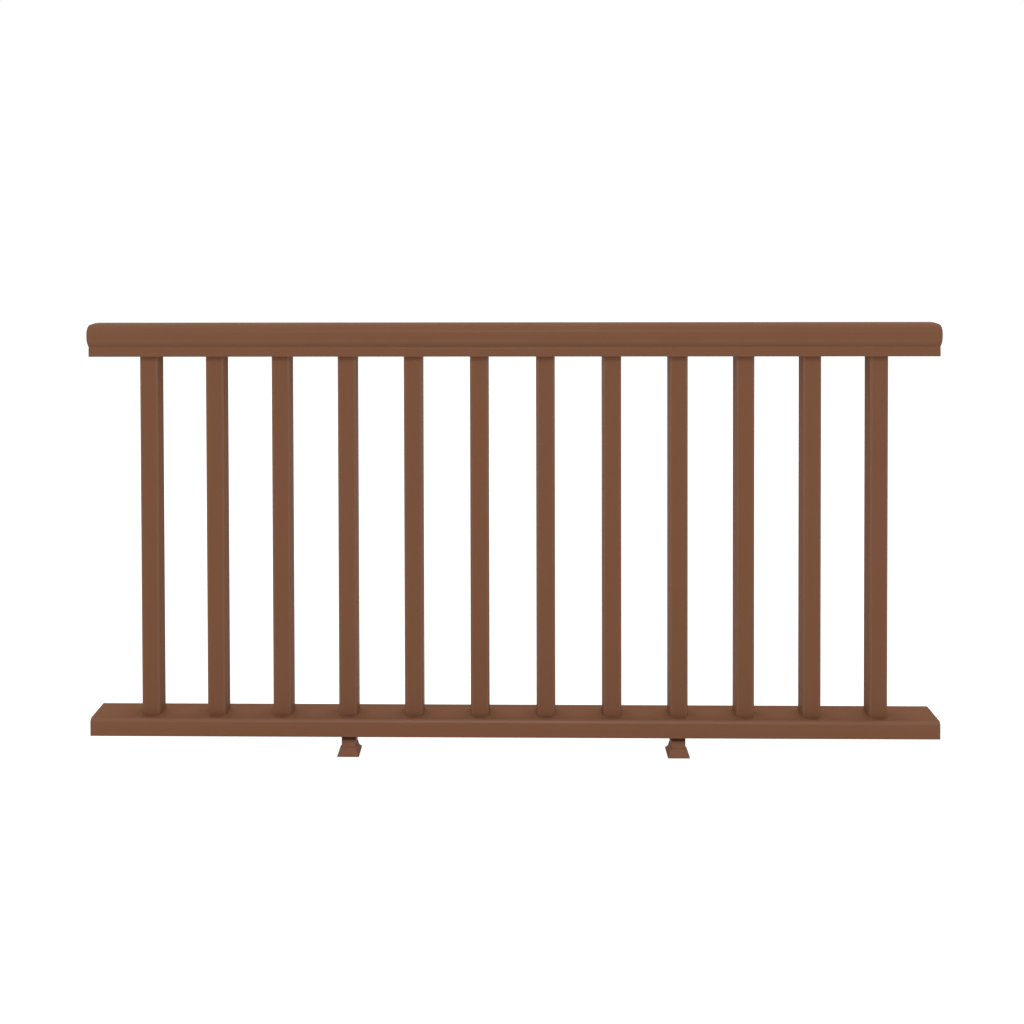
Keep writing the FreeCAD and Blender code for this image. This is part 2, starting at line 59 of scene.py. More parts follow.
# Foot posts
# Each foot is a short block of solid brown vinyl that carries the bottom rail clear of the deck.
# It is sawn from a square bar, so its upright edges are rounded and both of its ends are plain cuts.
POST_EDGE = 0.0015
POST_BURR = 0.0003
EDGE_STEPS = 5
BURR_STEPS = 2
SMOOTH_LIMIT = math.radians(28)
WELD = 0.000002
FOOT_SIDES = ("left", "right")
# Paler than the rails' brown: the extra lightness is painted light, making up for the shade the rail
# throws on the feet.
FOOT_BROWN = (0.204, 0.0915, 0.0550, 1)
VINYL_ROUGHNESS = 0.35
VINYL_GLOSS = 0.005
FOOT_ROUGHNESS = 0.40
FOOT_GLOSS = 0.005
VINYL_LINES = 0.05
VINYL_CLOUDING = 0.07
VINYL_RELIEF = 0.15
UPRIGHT = (420, 420, 3)
CLOUD_SCALE = 7.0
PORE_SCALE = 1600.0
MARK_DETAIL = 3.0
CLOUD_DULLING = 0.16
LINE_DULLING = 0.12
MARK_DEPTH = 0.0001
# Painted shade at the top of each post: how dark it gets, and how far below the joint it starts and is
# full.
JOINT_SHADE = 0.24
JOINT_SHADE_STARTS = 0.022
JOINT_SHADE_FULL = 0.014


def flat_plate(name, low, high):
    """A level plate from low to high, left in edit mode with everything selected."""
    bpy.ops.object.select_all(action="DESELECT")
    middle = (low + high) / 2
    bpy.ops.mesh.primitive_plane_add(size=1, location=(middle.x, middle.y, low.z))
    plate = bpy.context.object
    plate.name = name
    plate.data.name = name
    plate.scale = (high.x - low.x, high.y - low.y, 1)
    bpy.ops.object.transform_apply(location=True, rotation=True, scale=True)
    bpy.ops.object.mode_set(mode="EDIT")
    bpy.ops.mesh.select_all(action="SELECT")
    return plate


def pick(piece, kind, wanted):
    """Selects the vertices, edges or faces of a piece in edit mode that wanted says yes to."""
    bpy.ops.mesh.select_mode(type=kind)
    bpy.ops.mesh.select_all(action="DESELECT")
    mesh = bmesh.from_edit_mesh(piece.data)
    for item in {"VERT": mesh.verts, "EDGE": mesh.edges, "FACE": mesh.faces}[kind]:
        if wanted(item):
            item.select_set(True)
    bmesh.update_edit_mesh(piece.data)


def pull(x=0.0, y=0.0, z=0.0):
    """Extrudes what is selected by that much."""
    bpy.ops.mesh.extrude_region_move(TRANSFORM_OT_translate={"value": (x, y, z)})


def square_up(piece):
    """Welds a finished mesh, turns its faces outward and shades its rounded stretches smooth."""
    bpy.ops.mesh.select_all(action="SELECT")
    bpy.ops.mesh.remove_doubles(threshold=WELD)
    bpy.ops.mesh.normals_make_consistent(inside=False)
    bpy.ops.object.mode_set(mode="OBJECT")
    bpy.ops.object.shade_smooth_by_angle(angle=SMOOTH_LIMIT)
    flats = piece.modifiers.new("flat_faces_stay_flat", "WEIGHTED_NORMAL")
    flats.keep_sharp = True
    bpy.ops.object.modifier_apply(modifier=flats.name)


def twin_of(piece, name, shift):
    """A copy of a piece with a mesh of its own, moved along by shift."""
    bpy.ops.object.select_all(action="DESELECT")
    piece.select_set(True)
    bpy.context.view_layer.objects.active = piece
    bpy.ops.object.duplicate(linked=False)
    twin = bpy.context.object
    twin.name = name
    twin.data.name = name
    bpy.ops.transform.translate(value=shift)
    bpy.ops.object.transform_apply(location=True, rotation=False, scale=False)
    return twin


def die_marks():
    """Node group: the faint lengthwise lines, clouding and pores that drawn or moulded stock carries."""
    group = bpy.data.node_groups.new("die_marks", "ShaderNodeTree")
    sockets = group.interface
    sockets.new_socket("Place", in_out="INPUT", socket_type="NodeSocketVector")
    sockets.new_socket("Along", in_out="INPUT", socket_type="NodeSocketVector")
    sockets.new_socket("Colour", in_out="INPUT", socket_type="NodeSocketColor")
    sockets.new_socket("Roughness", in_out="INPUT", socket_type="NodeSocketFloat")
    sockets.new_socket("Line Depth", in_out="INPUT", socket_type="NodeSocketFloat")
    sockets.new_socket("Clouding", in_out="INPUT", socket_type="NodeSocketFloat")
    sockets.new_socket("Colour", in_out="OUTPUT", socket_type="NodeSocketColor")
    sockets.new_socket("Roughness", in_out="OUTPUT", socket_type="NodeSocketFloat")
    sockets.new_socket("Height", in_out="OUTPUT", socket_type="NodeSocketFloat")
    nodes = group.nodes
    link = group.links.new
    given = nodes.new("NodeGroupInput")
    result = nodes.new("NodeGroupOutput")

    def noise(vector, scale, detail):
        texture = nodes.new("ShaderNodeTexNoise")
        texture.inputs["Scale"].default_value = scale
        texture.inputs["Detail"].default_value = detail
        link(given.outputs[vector], texture.inputs["Vector"])
        centred = nodes.new("ShaderNodeMath")
        centred.operation = "SUBTRACT"
        centred.inputs[1].default_value = 0.5
        link(texture.outputs["Fac"], centred.inputs[0])
        return centred.outputs[0]

    def weighted(value, weight, base):
        step = nodes.new("ShaderNodeMath")
        step.operation = "MULTIPLY_ADD"
        link(value, step.inputs[0])
        for socket, source in zip(step.inputs[1:], (weight, base)):
            if isinstance(source, float):
                socket.default_value = source
            else:
                link(source, socket)
        return step.outputs[0]

    lines = noise("Along", 1.0, MARK_DETAIL)
    clouds = noise("Place", CLOUD_SCALE, MARK_DETAIL)
    pores = noise("Place", PORE_SCALE, 1.0)
    shade = weighted(lines, given.outputs["Line Depth"], 1.0)
    shade = weighted(clouds, given.outputs["Clouding"], shade)
    tone = nodes.new("ShaderNodeHueSaturation")
    link(given.outputs["Colour"], tone.inputs["Color"])
    link(shade, tone.inputs["Value"])
    link(tone.outputs["Color"], result.inputs["Colour"])
    dull = weighted(clouds, CLOUD_DULLING, given.outputs["Roughness"])
    link(weighted(lines, LINE_DULLING, dull), result.inputs["Roughness"])
    link(weighted(lines, 0.5, weighted(pores, 0.5, 0.5)), result.inputs["Height"])
    return group


def stock_material(name, colour, roughness, stretch, line_depth, clouding, relief):
    """A material whose surface shows die marks; stretch turns and draws out the lines."""
    material = bpy.data.materials.new(name)
    material.use_nodes = True
    nodes = material.node_tree.nodes
    link = material.node_tree.links.new
    shader = nodes["Principled BSDF"]
    place = nodes.new("ShaderNodeTexCoord")
    along = nodes.new("ShaderNodeMapping")
    along.inputs["Scale"].default_value = stretch
    marks = nodes.new("ShaderNodeGroup")
    marks.node_tree = bpy.data.node_groups.get("die_marks") or die_marks()
    marks.inputs["Colour"].default_value = colour
    marks.inputs["Roughness"].default_value = roughness
    marks.inputs["Line Depth"].default_value = line_depth
    marks.inputs["Clouding"].default_value = clouding
    bump = nodes.new("ShaderNodeBump")
    bump.inputs["Strength"].default_value = relief
    bump.inputs["Distance"].default_value = MARK_DEPTH
    link(place.outputs["Object"], along.inputs["Vector"])
    link(place.outputs["Object"], marks.inputs["Place"])
    link(along.outputs["Vector"], marks.inputs["Along"])
    link(marks.outputs["Colour"], shader.inputs["Base Color"])
    link(marks.outputs["Roughness"], shader.inputs["Roughness"])
    link(marks.outputs["Height"], bump.inputs["Height"])
    link(bump.outputs["Normal"], shader.inputs["Normal"])
    return material


def vinyl(name, colour, stretch, roughness=VINYL_ROUGHNESS, gloss=VINYL_GLOSS):
    """Matte brown vinyl with its die lines along the stretched axis."""
    material = stock_material(name, colour, roughness, stretch, VINYL_LINES, VINYL_CLOUDING, VINYL_RELIEF)
    shader = material.node_tree.nodes["Principled BSDF"]
    shader.inputs["Specular IOR Level"].default_value = gloss
    return material


def paint_shade_below_joint(material, joint_z):
    """Paints shade into a colour in a band just below a joint, where the part above keeps the light off.
    """
    nodes = material.node_tree.nodes
    link = material.node_tree.links.new
    colour = nodes["Principled BSDF"].inputs["Base Color"]
    plain = colour.links[0].from_socket
    height = nodes.new("ShaderNodeSeparateXYZ")
    shade = nodes.new("ShaderNodeMapRange")
    shade.interpolation_type = "SMOOTHSTEP"
    shade.inputs["From Min"].default_value = joint_z - JOINT_SHADE_STARTS
    shade.inputs["From Max"].default_value = joint_z - JOINT_SHADE_FULL
    shade.inputs["To Min"].default_value = 1.0
    shade.inputs["To Max"].default_value = JOINT_SHADE
    darker = nodes.new("ShaderNodeHueSaturation")
    link(nodes["Texture Coordinate"].outputs["Object"], height.inputs["Vector"])
    link(height.outputs["Z"], shade.inputs["Value"])
    link(shade.outputs["Result"], darker.inputs["Value"])
    link(plain, darker.inputs["Color"])
    link(darker.outputs["Color"], colour)


post_low, post_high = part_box("left_foot_post")
left_post = flat_plate("left_post", post_low, post_high)
bpy.ops.mesh.bevel(offset=POST_EDGE, segments=EDGE_STEPS, affect="VERTICES")
pull(z=post_high.z - post_low.z)
pick(left_post, "EDGE", lambda edge: abs(edge.verts[0].co.z - edge.verts[1].co.z) < WELD)
bpy.ops.mesh.bevel(offset=POST_BURR, segments=BURR_STEPS, affect="EDGES")
square_up(left_post)
foot_brown = vinyl("foot_vinyl", FOOT_BROWN, UPRIGHT, FOOT_ROUGHNESS, FOOT_GLOSS)
# Painted shade: the top of each post is darkened just below the rail, where the rail keeps the light off.
paint_shade_below_joint(foot_brown, post_high.z)
left_post.data.materials.append(foot_brown)
foot_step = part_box("right_foot_post")[0] - post_low
foot_posts = {"left": left_post, "right": twin_of(left_post, "right_post", foot_step)}
for side in FOOT_SIDES:
    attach(foot_posts[side], "root")
    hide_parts(side + "_foot_post")

# Foot skirts
# A moulded vinyl collar slides down each post and hides its foot where it meets the deck.
# Its sides are hollow curves that spread from a thin rim at the post to a low upright plinth.
SKIRT_PLINTH = 0.0015
SKIRT_WALL = 0.0007
SKIRT_CLEARANCE = 0.0003
SKIRT_MITRE = 0.0004
MITRE_STEPS = 3
COVE_STEPS = 10

skirt_low, skirt_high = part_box("left_foot_skirt")
skirt_axis = (skirt_low + skirt_high) / 2
skirt_axis.z = skirt_low.z
plinth_half = (skirt_high.x - skirt_low.x) / 2
opening_half = (post_high.x - post_low.x) / 2 + SKIRT_CLEARANCE
rim_half = opening_half + SKIRT_WALL
cove_rise = skirt_high.z - skirt_low.z - SKIRT_PLINTH
cove_flare = plinth_half - rim_half
cove_radius = (cove_rise ** 2 + cove_flare ** 2) / (2 * cove_flare)
cove_sweep = math.asin(cove_rise / cove_radius)


def draw_in(ratio):
    """Scales what is selected towards the left foot's upright axis."""
    bpy.ops.transform.resize(value=(ratio, ratio, 1), center_override=skirt_axis)


left_skirt = flat_plate("left_skirt", skirt_low, skirt_high)
bpy.ops.mesh.delete(type="ONLY_FACE")
bpy.ops.mesh.select_all(action="SELECT")
pull(z=SKIRT_PLINTH)
half = plinth_half
height = 0.0
for step in range(1, COVE_STEPS + 1):
    turn = cove_sweep * (1 - step / COVE_STEPS)
    next_half = rim_half + cove_radius * (1 - math.cos(turn))
    next_height = cove_rise - cove_radius * math.sin(turn)
    pull(z=next_height - height)
    draw_in(next_half / half)
    half = next_half
    height = next_height
pull()
draw_in(opening_half / rim_half)
pull(z=skirt_low.z - skirt_high.z)
pick(left_skirt, "EDGE", lambda edge: edge.is_boundary)
bpy.ops.mesh.bridge_edge_loops()


def on_mitre(edge):
    """One of the sloping corner lines where two hollow sides meet."""
    first, second = (vertex.co - skirt_axis for vertex in edge.verts)
    corner = all(abs(abs(spot.x) - abs(spot.y)) < WELD for spot in (first, second))
    return corner and min(abs(first.x), abs(second.x)) > rim_half - WELD and abs(first.z - second.z) > WELD


pick(left_skirt, "EDGE", on_mitre)
bpy.ops.mesh.bevel(offset=SKIRT_MITRE, segments=MITRE_STEPS, affect="EDGES")
square_up(left_skirt)
left_skirt.data.materials.append(foot_brown)
foot_skirts = {"left": left_skirt, "right": twin_of(left_skirt, "right_skirt", foot_step)}
for side in FOOT_SIDES:
    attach(foot_skirts[side], "root")
    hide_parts(side + "_foot_skirt")

# Bottom rail
# A hollow vinyl extrusion with its two upper long edges rounded, sawn square at both ends.
# Two low ribs on its floor keep the stiffener in place, and a square hole is routed for each baluster.
# Its rounded edges catch the light more than its flat faces do.
BOTTOM_EDGE = 0.008
BOTTOM_EDGE_STEPS = 10
LOWER_EDGE = 0.0006
LOWER_EDGE_STEPS = 3
RAIL_WALL = 0.0028
RIB_WIDTH = 0.002
RIB_HEIGHT = 0.006
RIB_CLEARANCE = 0.0003
SAW_BURR = 0.0003
END_FACING = 0.9
BALUSTER_COUNT = 12
BALUSTER_EDGE = 0.0058
BALUSTER_EDGE_STEPS = 8
HOLE_CLEARANCE = 0.0003
RAIL_BROWN = (0.169, 0.0760, 0.0418, 1)
SAWN_BROWN = (0.190, 0.088, 0.048, 1)
SAWN_ROUGHNESS = 0.8
SAW_ARC_SCALE = 180
SAW_ARC_WOBBLE = 2.5
SAW_ARC_DETAIL = 3
SAW_RELIEF = 0.5
SAW_MARK_DEPTH = 0.0002
BLADE_Y = -0.11
BOTTOM_BLADE_Z = 0.02
ALONG_RAIL = (3, 420, 420)
EDGE_SHINE = 0.30
EDGE_ROUGHNESS = 0.35
EDGE_TURNED_AWAY = 0.15
EDGE_FACING = 0.60
FLAT_NEAR = 0.97
FLAT_FULL = 0.998

rail_low, rail_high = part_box("bottom_rail")
stiffener_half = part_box("bottom_rail_stiffener")[1].y
baluster_boxes = [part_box(f"baluster_{number + 1:02d}") for number in range(BALUSTER_COUNT)]
baluster_middles = [(low.x + high.x) / 2 for low, high in baluster_boxes]
baluster_width = baluster_boxes[0][1].x - baluster_boxes[0][0].x
baluster_pitch = baluster_middles[1] - baluster_middles[0]


def upright_plate(name, low, high):
    """A plate across the rail at its left end, left in edit mode with everything selected."""
    bpy.ops.object.select_all(action="DESELECT")
    middle = (low + high) / 2
    across = (0, math.radians(90), 0)
    bpy.ops.mesh.primitive_plane_add(size=1, location=(low.x, middle.y, middle.z), rotation=across)
    plate = bpy.context.object
    plate.name = name
    plate.data.name = name
    plate.scale = (high.z - low.z, high.y - low.y, 1)
    bpy.ops.object.transform_apply(location=True, rotation=True, scale=True)
    bpy.ops.object.mode_set(mode="EDIT")
    bpy.ops.mesh.select_all(action="SELECT")
    return plate


def hollow_and_rib(rail, low):
    """Turns a rail's end outline into its wall, with the two locating ribs on the inner floor."""
    bpy.ops.mesh.select_all(action="SELECT")
    bpy.ops.mesh.inset(thickness=RAIL_WALL, use_even_offset=True)
    bpy.ops.mesh.delete(type="ONLY_FACE")
    inner_rib = stiffener_half + RIB_CLEARANCE
    outer_rib = inner_rib + RIB_WIDTH
    for place in (-outer_rib, -inner_rib, inner_rib, outer_rib):
        bpy.ops.mesh.select_all(action="SELECT")
        bpy.ops.mesh.bisect(plane_co=(low.x, place, low.z), plane_no=(0, 1, 0))
    floor = low.z + RAIL_WALL

    def under_rib(edge):
        on_floor = all(abs(vertex.co.z - floor) < WELD for vertex in edge.verts)
        middle = abs(edge.verts[0].co.y + edge.verts[1].co.y) / 2
        return on_floor and inner_rib < middle < outer_rib

    pick(rail, "EDGE", under_rib)
    pull(z=RIB_HEIGHT)


def draw_out(rail, low, high, base_half):
    """Extrudes a rail's wall from end to end, one bay at a time, then eases its lower and sawn edges."""
    stops = [middle + baluster_pitch / 2 for middle in baluster_middles[:-1]] + [high.x]
    bpy.ops.mesh.select_mode(type="FACE")
    bpy.ops.mesh.select_all(action="SELECT")
    reached = low.x
    for stop in stops:
        pull(x=stop - reached)
        reached = stop

    def on_lower_edge(edge):
        return all(
            abs(vertex.co.z - low.z) < WELD and abs(abs(vertex.co.y) - base_half) < WELD
            for vertex in edge.verts
        )

    def at_saw_cut(edge):
        return any(
            all(abs(vertex.co.x - end) < WELD for vertex in edge.verts) for end in (low.x, high.x)
        ) and not all(abs(face.normal.x) > END_FACING for face in edge.link_faces)

    bpy.ops.mesh.select_all(action="SELECT")
    bpy.ops.mesh.remove_doubles(threshold=WELD)
    bpy.ops.mesh.normals_make_consistent(inside=False)
    pick(rail, "EDGE", on_lower_edge)
    bpy.ops.mesh.bevel(offset=LOWER_EDGE, segments=LOWER_EDGE_STEPS, affect="EDGES")
    pick(rail, "EDGE", at_saw_cut)
    bpy.ops.mesh.bevel(offset=SAW_BURR, segments=BURR_STEPS, affect="EDGES")
    bpy.ops.object.mode_set(mode="OBJECT")


def rout_holes(rail, low_z, high_z):
    """Cuts the row of square baluster holes through the one wall between low_z and high_z."""
    reach = Vector((baluster_width, baluster_width, 0)) / 2 + Vector((HOLE_CLEARANCE, HOLE_CLEARANCE, 0))
    first = Vector((baluster_middles[0], 0, low_z))
    router = flat_plate("router", first - reach, first + reach)
    hole_edge = BALUSTER_EDGE + HOLE_CLEARANCE
    bpy.ops.mesh.bevel(offset=hole_edge, segments=BALUSTER_EDGE_STEPS, affect="VERTICES")
    pull(z=high_z - low_z)
    bpy.ops.mesh.select_all(action="SELECT")
    bpy.ops.mesh.normals_make_consistent(inside=False)
    bpy.ops.object.mode_set(mode="OBJECT")
    row = router.modifiers.new("row", "ARRAY")
    row.count = BALUSTER_COUNT
    row.use_relative_offset = False
    row.use_constant_offset = True
    row.constant_offset_displace = (baluster_pitch, 0, 0)
    bpy.ops.object.modifier_apply(modifier=row.name)
    bpy.ops.object.select_all(action="DESELECT")
    bpy.context.view_layer.objects.active = rail
    rail.select_set(True)
    cut = rail.modifiers.new("holes", "BOOLEAN")
    cut.operation = "DIFFERENCE"
    cut.solver = "EXACT"
    cut.object = router
    bpy.ops.object.modifier_apply(modifier=cut.name)
    bpy.data.objects.remove(router)
    bpy.ops.object.mode_set(mode="EDIT")


def sawn_vinyl(name, blade_y, blade_z):
    """Bare vinyl on a cut face, paler and duller, scored in arcs round the saw blade's spindle."""
    material = bpy.data.materials.new(name)
    material.use_nodes = True
    nodes = material.node_tree.nodes
    link = material.node_tree.links.new
    shader = nodes["Principled BSDF"]
    shader.inputs["Roughness"].default_value = SAWN_ROUGHNESS
    shader.inputs["Specular IOR Level"].default_value = VINYL_GLOSS
    place = nodes.new("ShaderNodeTexCoord")
    spindle = nodes.new("ShaderNodeMapping")
    spindle.inputs["Location"].default_value = (0, -blade_y, -blade_z)
    arcs = nodes.new("ShaderNodeTexWave")
    arcs.wave_type = "RINGS"
    arcs.rings_direction = "X"
    arcs.inputs["Scale"].default_value = SAW_ARC_SCALE
    arcs.inputs["Distortion"].default_value = SAW_ARC_WOBBLE
    arcs.inputs["Detail"].default_value = SAW_ARC_DETAIL
    tone = nodes.new("ShaderNodeValToRGB")
    tone.color_ramp.elements[0].color = SAWN_BROWN
    tone.color_ramp.elements[1].color = RAIL_BROWN
    bump = nodes.new("ShaderNodeBump")
    bump.inputs["Strength"].default_value = SAW_RELIEF
    bump.inputs["Distance"].default_value = SAW_MARK_DEPTH
    link(place.outputs["Object"], spindle.inputs["Vector"])
    link(spindle.outputs["Vector"], arcs.inputs["Vector"])
    link(arcs.outputs["Fac"], tone.inputs["Fac"])
    link(tone.outputs["Color"], shader.inputs["Base Color"])
    link(arcs.outputs["Fac"], bump.inputs["Height"])
    link(bump.outputs["Normal"], shader.inputs["Normal"])
    return material


def shine_on_edges(material, shine):
    """Adds a thin gloss where a rounded long edge turns away from the front or the back face."""
    nodes = material.node_tree.nodes
    link = material.node_tree.links.new
    shader = nodes["Principled BSDF"]
    shader.inputs["Coat Roughness"].default_value = EDGE_ROUGHNESS
    turned = nodes.new("ShaderNodeSeparateXYZ")
    facing = nodes.new("ShaderNodeMath")
    facing.operation = "ABSOLUTE"
    link(nodes["Texture Coordinate"].outputs["Normal"], turned.inputs["Vector"])
    link(turned.outputs["Y"], facing.inputs[0])
    rounded = nodes.new("ShaderNodeMath")
    rounded.operation = "MULTIPLY"
    limits = ((EDGE_TURNED_AWAY, EDGE_FACING, 0.0, shine), (FLAT_NEAR, FLAT_FULL, 1.0, 0.0))
    for socket, (low, high, at_low, at_high) in zip(rounded.inputs, limits):
        fade = nodes.new("ShaderNodeMapRange")
        fade.interpolation_type = "SMOOTHSTEP"
        fade.inputs["From Min"].default_value = low
        fade.inputs["From Max"].default_value = high
        fade.inputs["To Min"].default_value = at_low
        fade.inputs["To Max"].default_value = at_high
        link(facing.outputs[0], fade.inputs["Value"])
        link(fade.outputs["Result"], socket)
    link(rounded.outputs[0], shader.inputs["Coat Weight"])


def finish_rail(rail, node, low, high, brown, sawn):
    """Gives a rail its skin and its sawn ends, and puts it in place of its node."""
    rail.data.materials.append(brown)
    rail.data.materials.append(sawn)
    for face in rail.data.polygons:
        near_end = min(abs(face.center.x - low.x), abs(face.center.x - high.x)) < WELD
        face.material_index = 1 if near_end else 0
    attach(rail, "root")
    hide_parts(node)


bottom_rail = upright_plate("bottom_rail_skin", rail_low, rail_high)
rail_mid_z = (rail_low.z + rail_high.z) / 2
pick(bottom_rail, "VERT", lambda vertex: vertex.co.z > rail_mid_z)
bpy.ops.mesh.bevel(offset=BOTTOM_EDGE, segments=BOTTOM_EDGE_STEPS, affect="VERTICES")
hollow_and_rib(bottom_rail, rail_low)
draw_out(bottom_rail, rail_low, rail_high, rail_high.y)
rout_holes(bottom_rail, rail_high.z - 2 * RAIL_WALL, rail_high.z + RAIL_WALL)
square_up(bottom_rail)
rail_brown = vinyl("rail_vinyl", RAIL_BROWN, ALONG_RAIL)
shine_on_edges(rail_brown, EDGE_SHINE)
bottom_sawn = sawn_vinyl("bottom_rail_saw_cut", BLADE_Y, BOTTOM_BLADE_Z)
finish_rail(bottom_rail, "bottom_rail", rail_low, rail_high, rail_brown, bottom_sawn)

# Stiffeners
# An aluminium channel, as it comes from the mill, slides into each rail and keeps it from sagging.
# They are cut a little shorter than the rails, so a bracket can plug into the open rail ends. The grey
# oxide film that grows on bare aluminium dulls them.
MILL_ALUMINIUM = (0.72, 0.73, 0.74, 1)
MILL_ROUGHNESS = 0.42
MILL_MARKS = {"line_depth": 0.16, "clouding": 0.08, "relief": 0.3}

aluminium = stock_material("mill_aluminium", MILL_ALUMINIUM, MILL_ROUGHNESS, ALONG_RAIL, **MILL_MARKS)
aluminium.node_tree.nodes["Principled BSDF"].inputs["Metallic"].default_value = 1
for name in ("bottom_rail_stiffener", "top_rail_stiffener"):
    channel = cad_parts[name]
    channel.data.materials.clear()
    channel.data.materials.append(aluminium)

# Balusters
# Square vinyl tubes with well-rounded corners stand on the bottom stiffener, and their tops end inside
# the top rail. They are extruded hollow, cut to length and pushed through the routed holes.
BALUSTER_WALL = 0.0023
# A touch darker than the bottom rail's brown: the difference is painted shade, evening out the stronger
# light on the balusters.
BALUSTER_BROWN = (0.156, 0.0700, 0.0382, 1)
BALUSTER_ROUGHNESS = 0.35
BALUSTER_GLOSS = 0.003
BALUSTER_EDGE_SHINE = 0.40

first_low, first_high = baluster_boxes[0]
first_baluster = flat_plate("baluster_tube_01", first_low, first_high)
bpy.ops.mesh.bevel(offset=BALUSTER_EDGE, segments=BALUSTER_EDGE_STEPS, affect="VERTICES")
bpy.ops.mesh.select_all(action="SELECT")
bpy.ops.mesh.inset(thickness=BALUSTER_WALL, use_even_offset=True)
bpy.ops.mesh.delete(type="ONLY_FACE")
bpy.ops.mesh.select_mode(type="FACE")
bpy.ops.mesh.select_all(action="SELECT")
pull(z=first_high.z - first_low.z)
square_up(first_baluster)
baluster_brown = vinyl("baluster_vinyl", BALUSTER_BROWN, UPRIGHT, BALUSTER_ROUGHNESS, BALUSTER_GLOSS)
shine_on_edges(baluster_brown, BALUSTER_EDGE_SHINE)
first_baluster.data.materials.append(baluster_brown)
balusters = [first_baluster]
for number in range(1, BALUSTER_COUNT):
    along = (baluster_middles[number] - baluster_middles[0], 0, 0)
    balusters.append(twin_of(first_baluster, f"baluster_tube_{number + 1:02d}", along))
for number, tube in enumerate(balusters):
    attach(tube, "root")
    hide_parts(f"baluster_{number + 1:02d}")

# Top rail
# A hollow vinyl extrusion in the bread-loaf shape that fits a hand: crowned above, full at the sides,
# and tucked in through a rounded neck to a narrower straight base that takes the balusters.
TOP_BASE_HALF = 0.0322
TOP_BASE_HEIGHT = 0.019
TOP_BASE_CORNER = 0.0035
NECK_DEPTH = 0.0009
NECK_FILLET = 0.0035
TUCK_RISE = 0.0235
SHOULDER_RADIUS = 0.018
CROWN_RADIUS = 0.300
CROWN_STEPS = 6
MIRROR_WELD = 10 * WELD
ROUND_STEP = math.radians(9)
TOP_BLADE_Z = 0.84
# A touch darker than the bottom rail's brown: the difference is painted shade, evening out the stronger
# light on the top rail.
HANDRAIL_BROWN = (0.159, 0.0722, 0.0396, 1)
HANDRAIL_ROUGHNESS = 0.40
HANDRAIL_GLOSS = 0.003
HANDRAIL_EDGE_SHINE = 0.12

top_low, top_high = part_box("top_rail")
top_half = top_high.y
neck_z = top_low.z + TOP_BASE_HEIGHT
fillet_y = TOP_BASE_HALF - NECK_DEPTH + NECK_FILLET
corner_turn = math.acos(1 - NECK_DEPTH / (TOP_BASE_CORNER + NECK_FILLET))
corner_z = neck_z - (TOP_BASE_CORNER + NECK_FILLET) * math.sin(corner_turn)
tuck_reach = top_half - fillet_y
tuck_radius = (tuck_reach ** 2 + TUCK_RISE ** 2 - NECK_FILLET ** 2) / (2 * (tuck_reach + NECK_FILLET))
tuck_turn = math.asin(TUCK_RISE / (tuck_radius + NECK_FILLET))
widest_z = neck_z + TUCK_RISE
crown_z = top_high.z - CROWN_RADIUS
shoulder_y = top_half - SHOULDER_RADIUS
shoulder_z = crown_z + math.sqrt((CROWN_RADIUS - SHOULDER_RADIUS) ** 2 - shoulder_y ** 2)
shoulder_turn = math.atan2(shoulder_z - crown_z, shoulder_y)


def draw_arc(y, z, turn, steps=None):
    """Carries the end of the outline round a centre at the rail's left end, by a signed turn."""
    count = steps or max(2, round(abs(turn) / ROUND_STEP))
    bpy.ops.mesh.spin(steps=count, angle=-turn, center=(top_low.x, y, z), axis=(1, 0, 0))


base_low = Vector((top_low.x, 0, top_low.z))
base_high = Vector((top_low.x, TOP_BASE_HALF, corner_z))
top_rail = upright_plate("top_rail_skin", base_low, base_high)
pick(top_rail, "VERT", lambda vertex: vertex.co.z > top_low.z + WELD and vertex.co.y < WELD)
bpy.ops.mesh.delete(type="VERT")
pick(top_rail, "VERT", lambda vertex: vertex.co.z > top_low.z + WELD)
draw_arc(TOP_BASE_HALF - TOP_BASE_CORNER, corner_z, corner_turn)
draw_arc(fillet_y, neck_z, -corner_turn - tuck_turn)
draw_arc(top_half - tuck_radius, widest_z, tuck_turn)
pull(z=shoulder_z - widest_z)
draw_arc(shoulder_y, shoulder_z, shoulder_turn)
draw_arc(0, crown_z, math.radians(90) - shoulder_turn, CROWN_STEPS)
bpy.ops.object.mode_set(mode="OBJECT")
other_half = top_rail.modifiers.new("front_half", "MIRROR")
other_half.use_axis = (False, True, False)
other_half.merge_threshold = MIRROR_WELD
bpy.ops.object.modifier_apply(modifier=other_half.name)
bpy.ops.object.mode_set(mode="EDIT")
bpy.ops.mesh.select_all(action="SELECT")
bpy.ops.mesh.edge_face_add()
hollow_and_rib(top_rail, top_low)
draw_out(top_rail, top_low, top_high, TOP_BASE_HALF)
rout_holes(top_rail, top_low.z - RAIL_WALL, top_low.z + 2 * RAIL_WALL)
square_up(top_rail)
handrail_brown = vinyl("handrail_vinyl", HANDRAIL_BROWN, ALONG_RAIL, HANDRAIL_ROUGHNESS, HANDRAIL_GLOSS)
shine_on_edges(handrail_brown, HANDRAIL_EDGE_SHINE)
top_sawn = sawn_vinyl("top_rail_saw_cut", BLADE_Y, TOP_BLADE_Z)
finish_rail(top_rail, "top_rail", top_low, top_high, handrail_brown, top_sawn)

# Floor
# A plain white studio floor that runs out of sight. It is seen and reflected as white, apart from the
# faint shade under the feet, and it throws its light back up at the railing.
FLOOR_SIZE = 30
FLOOR_WHITE = (0.85, 0.85, 0.85, 1)
FLOOR_GLOW = 0.9
FLOOR_SHADE = (0.3, 0.3, 0.3, 1)


